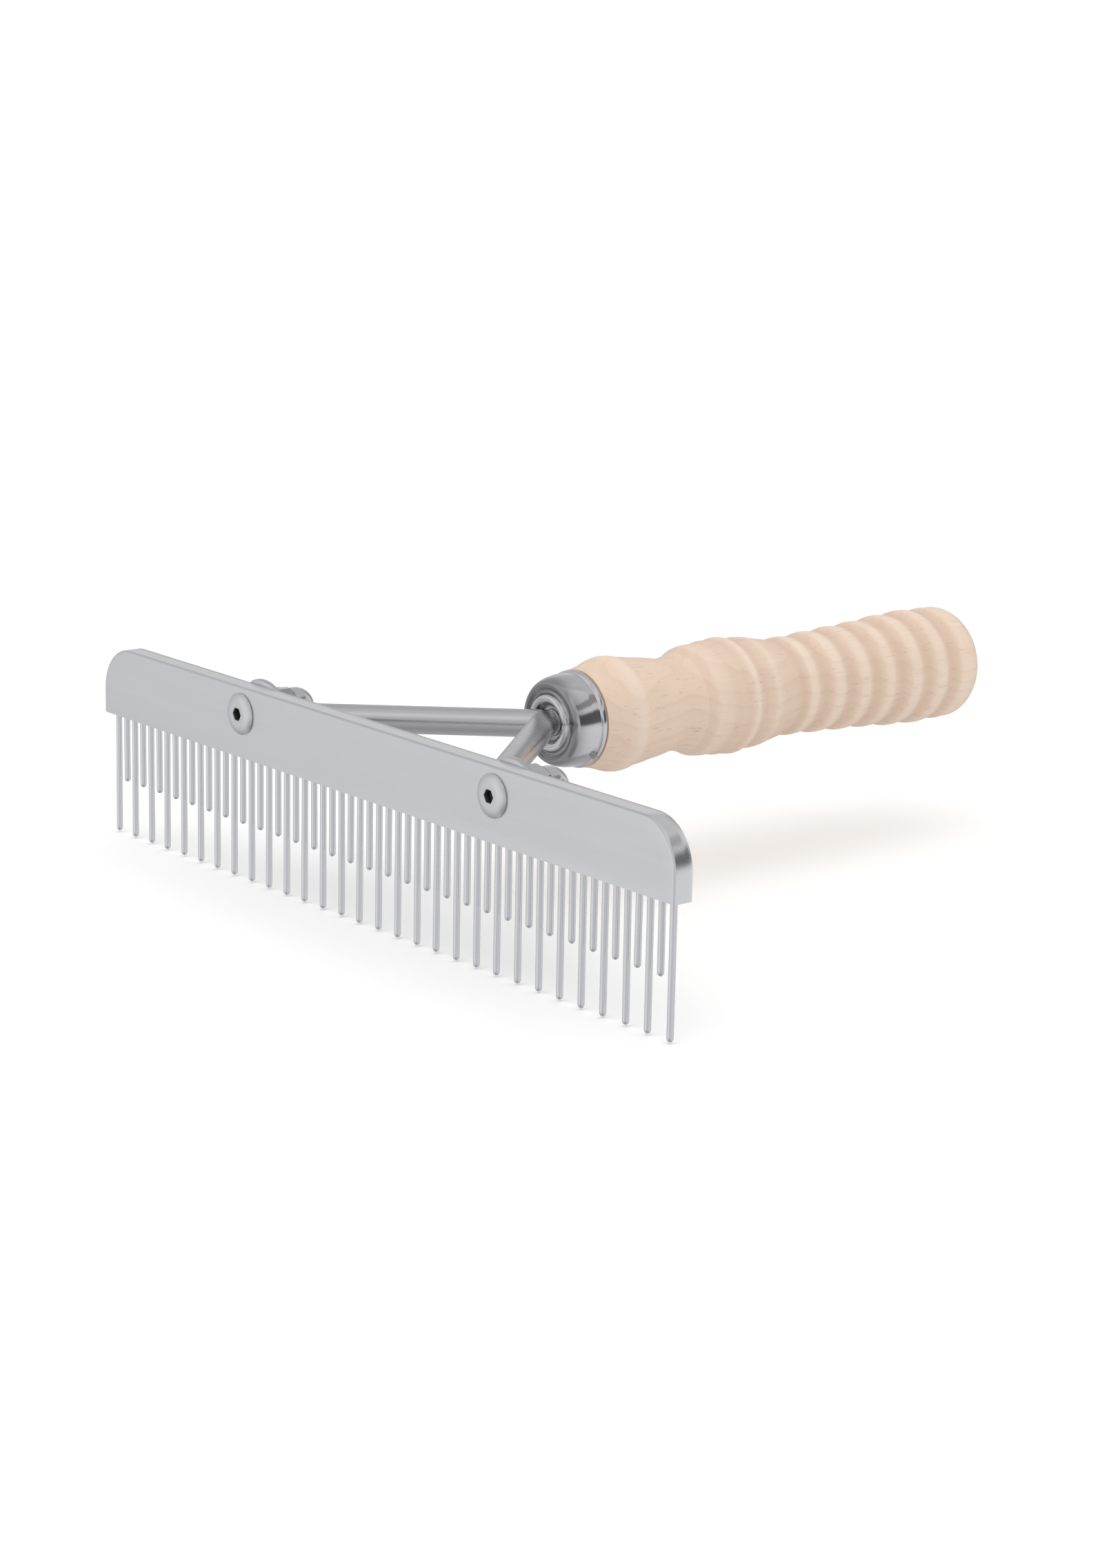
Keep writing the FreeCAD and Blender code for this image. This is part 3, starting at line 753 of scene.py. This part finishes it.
def head_shell():
    outline = head_outline()
    phase = rng.uniform(0, 6.28, 6)

    def ripple(x, z):
        """The pressing is very slightly wavy."""
        return (0.030 * math.sin(x * 0.055 + phase[0]) * math.cos(z * 0.16 + phase[1])
                + 0.012 * math.sin(x * 0.17 + phase[2] + z * 0.1))

    section = list(WALL_SECTION)
    for k in range(1, 8):
        a = math.pi / 2 * k / 7
        section.append((FRONT_FILLET - FRONT_FILLET * math.cos(a),
                        HEAD_FRONT + FRONT_FILLET - FRONT_FILLET * math.sin(a)))
    m = len(section)
    verts = [(x - nx * inset, y, z - nz * inset)
             for x, z, nx, nz in outline for inset, y in section]
    faces = []
    for i in range(len(outline) - 1):
        for k in range(m - 1):
            a, b = i * m + k, (i + 1) * m + k
            faces.append((a, a + 1, b + 1, b))

    inner_rim = [i * m for i in range(len(outline))]
    front_rim = [i + m - 1 for i in inner_rim]
    front = fill_sheet(verts, faces, front_rim, HEAD_FRONT, False, ripple)
    inner = fill_sheet(verts, faces, inner_rim, -1.7, True, ripple)
    for side in range(2):
        for k in range(HOLE_SEGMENTS):
            a = side * HOLE_SEGMENTS + k
            b = side * HOLE_SEGMENTS + (k + 1) % HOLE_SEGMENTS
            faces.append((front[a], front[b], inner[b], inner[a]))
    # close the two section ends and the bottom edge
    last = inner_rim[-1]
    faces.append(tuple(range(m)))
    faces.append((last, *[last + k for k in range(m - 1, 0, -1)]))
    faces.append((0, m - 1, last + m - 1, last))
    make("pressed_head_shell", (verts, faces), MATERIALS["head"],
         "head_front_shell", sharp=38)


head_shell()


# ------------------------------------------------------------------ fork legs
KNEE_X, KNEE_Y = 40.3, 7.05         # where the straight rod would meet the eye
FORK_APEX_Y = 53.1
ROD_RADIUS = 3.5
EYE_RADIUS = 8.0
EYE_Y = HEAD_BACK + EYE_THICKNESS / 2
STRAIGHT_END, BEND, EYE_CENTRE = 11, 12, 17     # station numbers
LEG_SEGMENTS = 56


def leg_stations(direction, length):
    """Right leg, apex to eye: x, y, section angle, half thickness, half width, power."""
    lean = math.atan2(direction[0], -direction[1])

    def along(t):
        return direction[0] * t, FORK_APEX_Y + direction[1] * t

    flat = math.pi / 2
    half = EYE_THICKNESS / 2
    stations = [(*along(t), lean, ROD_RADIUS, ROD_RADIUS, 2.0)
                for t in np.linspace(0.0, length - 7.2, STRAIGHT_END + 1)]
    stations += [
        (*along(length - 4.6), lean + 0.02, 3.45, 3.57, 2.0),
        (KNEE_X - 0.75, KNEE_Y + 0.95, lean + 0.22, 2.75, 3.92, 2.1),
        (KNEE_X + 1.35, KNEE_Y - 1.05, lean + 0.50, 1.80, 4.6, 2.4),
        (KNEE_X + 3.8, EYE_Y + 0.50, lean + 0.80, 1.26, 6.1, 3.0),
        (KNEE_X + 6.4, EYE_Y + 0.06, flat, 1.12, 7.45, 4.2),
        (HOLE_X, EYE_Y, flat, half, EYE_RADIUS, 5.0),
    ]
    for k in range(1, 12):          # round end of the eye
        a = math.pi / 2 * k / 12
        stations.append((HOLE_X + EYE_RADIUS * math.sin(a), EYE_Y, flat,
                         half - 0.02 * k / 12, EYE_RADIUS * math.cos(a), 5.0))
    return np.array(stations)


def bulge(value, power):
    """Superellipse coordinate from a cosine or sine."""
    return math.copysign(abs(value) ** (2 / power), value)


def drill(ob, x):
    """Cuts the screw hole through the eye."""
    bm = bmesh.new()
    place = Matrix.Translation(Vector((x, EYE_Y, AXIS_Z)) * MM)
    bmesh.ops.create_cone(bm, cap_ends=True, segments=48, radius1=HOLE_RADIUS * MM,
                          radius2=HOLE_RADIUS * MM, depth=12 * MM,
                          matrix=place @ Matrix.Rotation(math.pi / 2, 4, "X"))
    me = bpy.data.meshes.new("drill")
    bm.to_mesh(me)
    bm.free()
    cutter = bpy.data.objects.new("drill", me)
    scene.collection.objects.link(cutter)
    cut = ob.modifiers.new("hole", "BOOLEAN")
    cut.object = cutter
    cut.operation = "DIFFERENCE"
    cut.solver = "EXACT"
    depsgraph = bpy.context.evaluated_depsgraph_get()
    drilled = bpy.data.meshes.new_from_object(ob.evaluated_get(depsgraph))
    ob.modifiers.clear()
    ob.data = drilled
    drilled.shade_smooth()
    drilled.set_sharp_from_angle(angle=math.radians(40))
    bpy.data.objects.remove(cutter)


def fork_leg(side, name, node):
    direction = np.array([KNEE_X, KNEE_Y - FORK_APEX_Y])
    length = np.linalg.norm(direction)
    direction = direction / length
    stations = leg_stations(direction, length)
    steps = np.hypot(np.diff(stations[:, 0]), np.diff(stations[:, 1]))
    travel = np.concatenate([[0], np.cumsum(steps)])
    round_end = travel[EYE_CENTRE:]
    dense = np.concatenate([np.linspace(0, travel[STRAIGHT_END], 24)[:-1],
                            np.arange(travel[STRAIGHT_END], travel[EYE_CENTRE], 0.42),
                            round_end])
    sections = np.zeros((len(dense), 6))
    for column in range(6):
        curve = spline(np.stack([travel, stations[:, column]], 1), 0.05)
        sections[:, column] = np.interp(dense, curve[:, 0], curve[:, 1])
    sections[-len(round_end):] = stations[EYE_CENTRE:]      # the round end is exact
    phase = rng.uniform(0, 6.28, 4)

    stack = []
    for i, (t, section) in enumerate(zip(dense, sections)):
        x, y, angle, thick, wide, power = section
        # forging dents fade in after the straight rod
        dent_scale = clamp01((t - travel[STRAIGHT_END]) / 6.0) * (0.6 if wide < 6 else 0.25)
        ring = []
        for k in range(LEG_SEGMENTS):
            w = 2 * math.pi * k / LEG_SEGMENTS
            dent = dent_scale * (0.02 * math.sin(t * 0.9 + 2 * w + phase[0])
                                 + 0.012 * math.sin(t * 2.3 + 3 * w + phase[1]))
            across = (thick + dent) * bulge(math.cos(w), power)
            up = (wide + dent) * bulge(math.sin(w), power)
            px, py = x + across * math.cos(angle), y + across * math.sin(angle)
            if i == 0:              # mitre on the plane between the two legs
                px, py = 0.0, py - px / direction[0] * direction[1]
            if t > travel[BEND]:
                py = max(py, HEAD_BACK + 0.001)
                # spot-faced flat where the washer sits
                near = clamp01(7.4 - math.hypot(px - HOLE_X, up))
                if near > 0:
                    py = min(py, EYE_BACK + (1 - near) * 3.0)
            ring.append((side * px, py, AXIS_Z + up))
        stack.append(ring)
    ob = make(name, join_rings(stack), MATERIALS["rod"], node, sharp=40)
    drill(ob, side * HOLE_X)


fork_leg(1, "fork_arm_right", "fork_leg_right")
fork_leg(-1, "fork_arm_left", "fork_leg_left")


# ------------------------------------------------------------------ screws and cap nuts
SCREW_SEGMENTS = 72
SCREW_HEAD_HEIGHT = 1.35
SOCKET_DEPTH = 1.6
SOCKET_HEX = hexagon(3.0)
THREAD_PITCH = 1.0
# Domed top of the screw head, as a quadratic curve: (radius, y)
SCREW_DOME = np.array([(2.9, -SCREW_HEAD_HEIGHT), (4.45, -1.27), (5.25, -0.35)])
# Rim, seat and start of the shank: (y, radius)
SCREW_RIM = [(-0.35, 5.25), (-0.12, 5.24), (-0.02, 5.12), (0.0, 5.0), (0.0, 3.1), (0.08, 2.93)]

NUT_SEGMENTS = 144
NUT_HEX = 10.0                      # across flats
NUT_CHAMFER_RADIUS = NUT_HEX / math.sqrt(3.0) - 0.86
NUT_TURN = {"left": 8.0, "right": -17.0}        # degrees about y
NUT_DOME_Y, NUT_DOME_RADIUS = 7.25, 4.75
NUT_HEX_YS = (0.0, 0.08, 0.16, 0.26, 0.38, 0.5, 0.62, 0.8, 1.4, 2.5, 3.6, 4.2, 4.4, 4.55,
              4.7, 4.85, 4.98, 5.08)
# Neck between hexagon and dome: (y, radius)
NUT_NECK = [(5.12, 5.02), (5.16, 4.9), (5.22, 4.80), (5.34, 4.752), (5.6, NUT_DOME_RADIUS),
            (6.4, NUT_DOME_RADIUS), (NUT_DOME_Y, NUT_DOME_RADIUS)]


def screw_thread(y):
    fade = clamp01((y - 0.9) / 1.2) * clamp01((15.7 - y) / 0.8)

    def radius(angle):
        turn = (y / THREAD_PITCH + angle / (2 * math.pi)) % 1.0
        flank = clamp01((abs(2 * turn - 1) - 0.12) / 0.72)      # 0 at the root, 1 at the crest
        return 2.95 - 0.56 * fade * (1 - flank)
    return radius


def screw(side, x):
    top = -SCREW_HEAD_HEIGHT
    floor_y = top + SOCKET_DEPTH
    # socket, floor to mouth: y, radius, painted shade
    socket = [
        (floor_y + 0.75, circle(0.10), 1.0),
        (floor_y + 0.02, hexagon(2.6), 1.0),
        (floor_y - 0.04, hexagon(2.94), 1.0),
        (floor_y - 0.3, SOCKET_HEX, 0.97),
        (top + 0.6, SOCKET_HEX, 0.62),
        (top + 0.12, SOCKET_HEX, 0.22),
        (top + 0.02, lambda angle: min(1.90, SOCKET_HEX(angle) + 0.10), 0.08),
    ]
    rows = [(y, radius) for y, radius, painted_shade in socket]
    rows += [(top, circle(radius)) for radius in (1.94, 2.4, 2.78)]
    start, control, end = SCREW_DOME
    for k in range(1, 14):
        u = k / 14
        radius, y = (1 - u) ** 2 * start + 2 * u * (1 - u) * control + u * u * end
        rows.append((y, circle(radius)))
    rows += [(y, circle(radius)) for y, radius in SCREW_RIM]
    rows += [(y, screw_thread(y)) for y in np.arange(0.4, 15.6, THREAD_PITCH / 10)]
    rows += [(15.62, circle(2.45)), (16.0, circle(2.1))]
    mesh = fastener(rows, SCREW_SEGMENTS, x, HEAD_FRONT)
    ob = make("socket_screw_" + side, mesh, MATERIALS["screw"], "screw_" + side,
              sharp=34, body="screw_" + side)
    # Painted shade: near-black colour in the hex socket, full at the floor and fading towards the
    # mouth.
    painted_shade = np.zeros(len(mesh[0]))
    for i, (_, _, amount) in enumerate(socket):
        painted_shade[i * SCREW_SEGMENTS:(i + 1) * SCREW_SEGMENTS] = amount
    painted_shade[len(rows) * SCREW_SEGMENTS] = 1.0      # centre of the socket floor
    point_attribute(ob, "socket", painted_shade)


def nut_thread(y):
    return lambda angle: 2.78 + 0.17 * math.cos(
        2 * math.pi * (y / THREAD_PITCH + angle / (2 * math.pi)))


def nut_hexagon(y, turn):
    """Hexagon cut by a 30 degree cone at each end, with softened edges."""
    slope = math.tan(math.radians(30))
    cone = min(NUT_CHAMFER_RADIUS + y / slope, NUT_CHAMFER_RADIUS - 0.25 + (5.05 - y) / slope)
    flats = hexagon(NUT_HEX, turn)
    soft = 0.06

    def radius(angle):
        flat = flats(angle)
        share = clamp01(0.5 + 0.5 * (cone - flat) / soft)
        return cone * (1 - share) + flat * share - soft * share * (1 - share)
    return radius


def cap_nut(side, x):
    turn = math.radians(NUT_TURN[side])
    rows = [(10.4, circle(0.1)), (9.3, circle(2.95))]
    rows += [(y, nut_thread(y)) for y in np.arange(9.1, 0.5, -0.25)]
    rows += [(0.35, circle(3.02)), (0.0, circle(3.3))]
    rows += [(y, nut_hexagon(y, turn)) for y in NUT_HEX_YS]
    rows += [(y, circle(radius)) for y, radius in NUT_NECK]
    for k in range(1, 22):
        a = math.pi / 2 * k / 22
        rows.append((NUT_DOME_Y + NUT_DOME_RADIUS * math.sin(a),
                     circle(NUT_DOME_RADIUS * math.cos(a))))
    mesh = fastener(rows, NUT_SEGMENTS, x, EYE_BACK + WASHER_THICKNESS)
    make("domed_nut_" + side, mesh, MATERIALS["nut"], "cap_nut_" + side,
         sharp=30, body="cap_nut_" + side)


for side, x in (("left", -HOLE_X), ("right", HOLE_X)):
    screw(side, x)
    cap_nut(side, x)


# ------------------------------------------------------------------ floor
def floor():
    z, half = -0.0503, 30.0         # metres
    me = bpy.data.meshes.new("studio_floor")
    corners = [(-half, -half, z), (half, -half, z), (half, half, z), (-half, half, z)]
    me.from_pydata(corners, [], [(0, 1, 2, 3)])
    ob = bpy.data.objects.new("studio_floor", me)
    scene.collection.objects.link(ob)
    s = Material("pale_studio_floor")
    mottle = s.noise(s.co, scale=40.0, detail=3.0)
    seen_by_camera = s.node("LightPath").outputs["Is Camera Ray"]
    colour = s.mix(mottle, (0.955, 0.955, 0.955), (0.975, 0.975, 0.972))
    colour = s.mix(seen_by_camera, (0.93, 0.93, 0.93), colour)
    s.surface(Base_Color=colour, Roughness=0.9, Specular_IOR_Level=0.0,
              Normal=s.bump(mottle, strength=0.02, distance=0.0002))
    me.materials.append(s.mat)
    ob.visible_glossy = False


floor()


# ------------------------------------------------------------------ world
# Brightness seen in reflections: (elevation in degrees, value)
SKY_GENERAL = [(-90, 0.34), (-50, 0.38), (-28, 0.62), (-14, 0.80), (0, 0.78), (16, 0.74),
               (34, 0.62), (54, 0.50), (66, 0.50), (78, 0.55), (90, 0.60)]
SKY_RIGHT = [(-90, 0.52), (-40, 0.66), (-10, 0.70), (-4, 0.60), (0, 0.10), (21, 0.09),
             (25, 0.60), (33, 0.62), (36, 0.27), (46, 0.27), (49, 0.56), (90, 0.72)]
SKY_OPPOSITE = [(-90, 0.40), (-40, 0.50), (-10, 0.60), (4, 0.57), (17, 0.66), (27, 0.52),
                (42, 0.50), (60, 0.50), (90, 0.60)]
SKY_CAMERA = [(-90, 0.34), (-50, 0.36), (-28, 0.46), (-14, 0.62), (4, 0.60), (22, 0.52),
              (36, 0.66), (46, 0.78), (60, 0.78), (74, 0.60), (90, 0.60)]
SKY_DIM = [(-90, 0.42), (-30, 0.40), (-12, 0.30), (22, 0.30), (34, 0.50), (90, 0.60)]
# Brightness that lights matt surfaces
SKY_DIFFUSE = [(-90, 0.74), (-2, 0.76), (6, 0.74), (35, 0.78), (90, 1.15)]


def world():
    """Reflected studio panels, softer diffuse light and a white backdrop for the camera."""
    studio = bpy.data.worlds.new("studio")
    scene.world = studio
    studio.use_nodes = True
    s = Shader(studio.node_tree)
    generated = s.node("TexCoord").outputs["Generated"]
    direction = s.node("VectorMath", {0: generated}, operation="NORMALIZE").outputs[0]
    x, y, z = s.node("SeparateXYZ", {0: direction}).outputs
    elevation = s.math("MULTIPLY", s.math("ARCSINE", z), 180 / math.pi)
    height = s.math("DIVIDE", s.math("ADD", elevation, 90.0), 180.0, clamp=True)
    azimuth = s.math("ARCTAN2", y, x)

    def sky(stops):
        return s.ramp(height, [((degrees + 90) / 180, value) for degrees, value in stops])

    def lobe(centre, width, soft):
        """1 within width degrees of azimuth centre, falling to 0 over soft degrees."""
        away = s.math("ABSOLUTE", s.math("SUBTRACT", azimuth, math.radians(centre)))
        away = s.math("MINIMUM", away, s.math("SUBTRACT", 2 * math.pi, away))
        return s.range(away, low=math.radians(width), high=math.radians(width + soft),
                       to_low=1.0, to_high=0.0, interpolation="SMOOTHSTEP")

    general, right, opposite, camera_side = (
        sky(stops) for stops in (SKY_GENERAL, SKY_RIGHT, SKY_OPPOSITE, SKY_CAMERA))
    colour = s.mix(lobe(-46, width=14, soft=16), general, camera_side)
    colour = s.mix(lobe(30, width=36, soft=12), colour, right)
    colour = s.mix(lobe(141, width=24, soft=30), colour, opposite)
    colour = s.layer(colour, lobe(112, width=9, soft=12), 0.85, over=sky(SKY_DIM))
    # a brighter panel to the left of the camera, grey flags beyond it
    colour = s.layer(colour, lobe(-122, width=12, soft=26), 0.30, over=(1.0, 1.0, 1.0))
    colour = s.layer(colour, lobe(178, width=12, soft=24), 0.25, over=(0.35, 0.35, 0.36))
    colour = s.layer(colour, lobe(-158, width=10, soft=22), 0.38, over=(0.50, 0.50, 0.50))
    cool_tint = (0.99, 0.99, 1.012)
    glossy = s.mix(1.0, colour, cool_tint, "MULTIPLY")
    diffuse = sky(SKY_DIFFUSE)
    ray = s.node("LightPath").outputs
    colour = s.mix(ray["Is Glossy Ray"], diffuse, glossy)
    colour = s.mix(ray["Is Camera Ray"], colour, (1.0, 1.0, 1.0))
    background = s.node("Background", {0: colour, 1: 1.0}).outputs[0]
    s.node("OutputWorld", {0: background})


world()


# ------------------------------------------------------------------ lights
def sun(name, azimuth, elevation, strength, spread, colour=(1, 1, 1)):
    """Soft light from azimuth (degrees from +X towards +Y) and elevation."""
    light = bpy.data.lights.new(name, "SUN")
    light.energy = strength
    light.angle = math.radians(spread)
    light.color = colour
    ob = bpy.data.objects.new(name, light)
    scene.collection.objects.link(ob)
    a, e = math.radians(azimuth), math.radians(elevation)
    towards = Vector((math.cos(a) * math.cos(e), math.sin(a) * math.cos(e), math.sin(e)))
    ob.rotation_euler = towards.to_track_quat("Z", "Y").to_euler()
    ob.visible_glossy = False


sun("key_softbox", azimuth=-80, elevation=58, strength=0.55, spread=70,
    colour=(1.0, 0.99, 0.975))
sun("top_softbox", azimuth=60, elevation=76, strength=0.45, spread=90)
sun("front_fill", azimuth=-20, elevation=30, strength=0.08, spread=90)


# ------------------------------------------------------------------ camera
CAMERA_TURN, CAMERA_RISE, CAMERA_ROLL = 50.8490, 13.7920, 1.1422    # degrees, turn from -y
CAMERA_BACK, CAMERA_RIGHT, CAMERA_UP = 868.380, 47.3288, 3.5098     # mm from the pivot
CAMERA_PIVOT = Vector((0, HEAD_FRONT, HEAD_BOTTOM))                 # head's lower front edge


def camera():
    turn, rise, roll = (math.radians(v) for v in (CAMERA_TURN, CAMERA_RISE, CAMERA_ROLL))
    back = Vector((math.sin(turn) * math.cos(rise), -math.cos(turn) * math.cos(rise),
                   math.sin(rise)))
    level_right = Vector((math.cos(turn), math.sin(turn), 0))
    level_up = back.cross(level_right)
    right = level_right * math.cos(roll) + level_up * math.sin(roll)
    up = level_up * math.cos(roll) - level_right * math.sin(roll)
    place = back * CAMERA_BACK + right * CAMERA_RIGHT + up * CAMERA_UP + CAMERA_PIVOT
    data = bpy.data.cameras.new("camera")
    data.lens = 83.79676
    data.sensor_width = 36
    data.sensor_fit = "AUTO"
    data.clip_start, data.clip_end = 0.05, 200.0
    ob = bpy.data.objects.new("camera", data)
    scene.collection.objects.link(ob)
    rows = [(right[i], up[i], back[i], place[i] * MM) for i in range(3)]
    ob.matrix_world = Matrix((*rows, (0, 0, 0, 1)))
    scene.camera = ob


camera()
scene.view_settings.view_transform = "Standard"
scene.view_settings.look = "None"
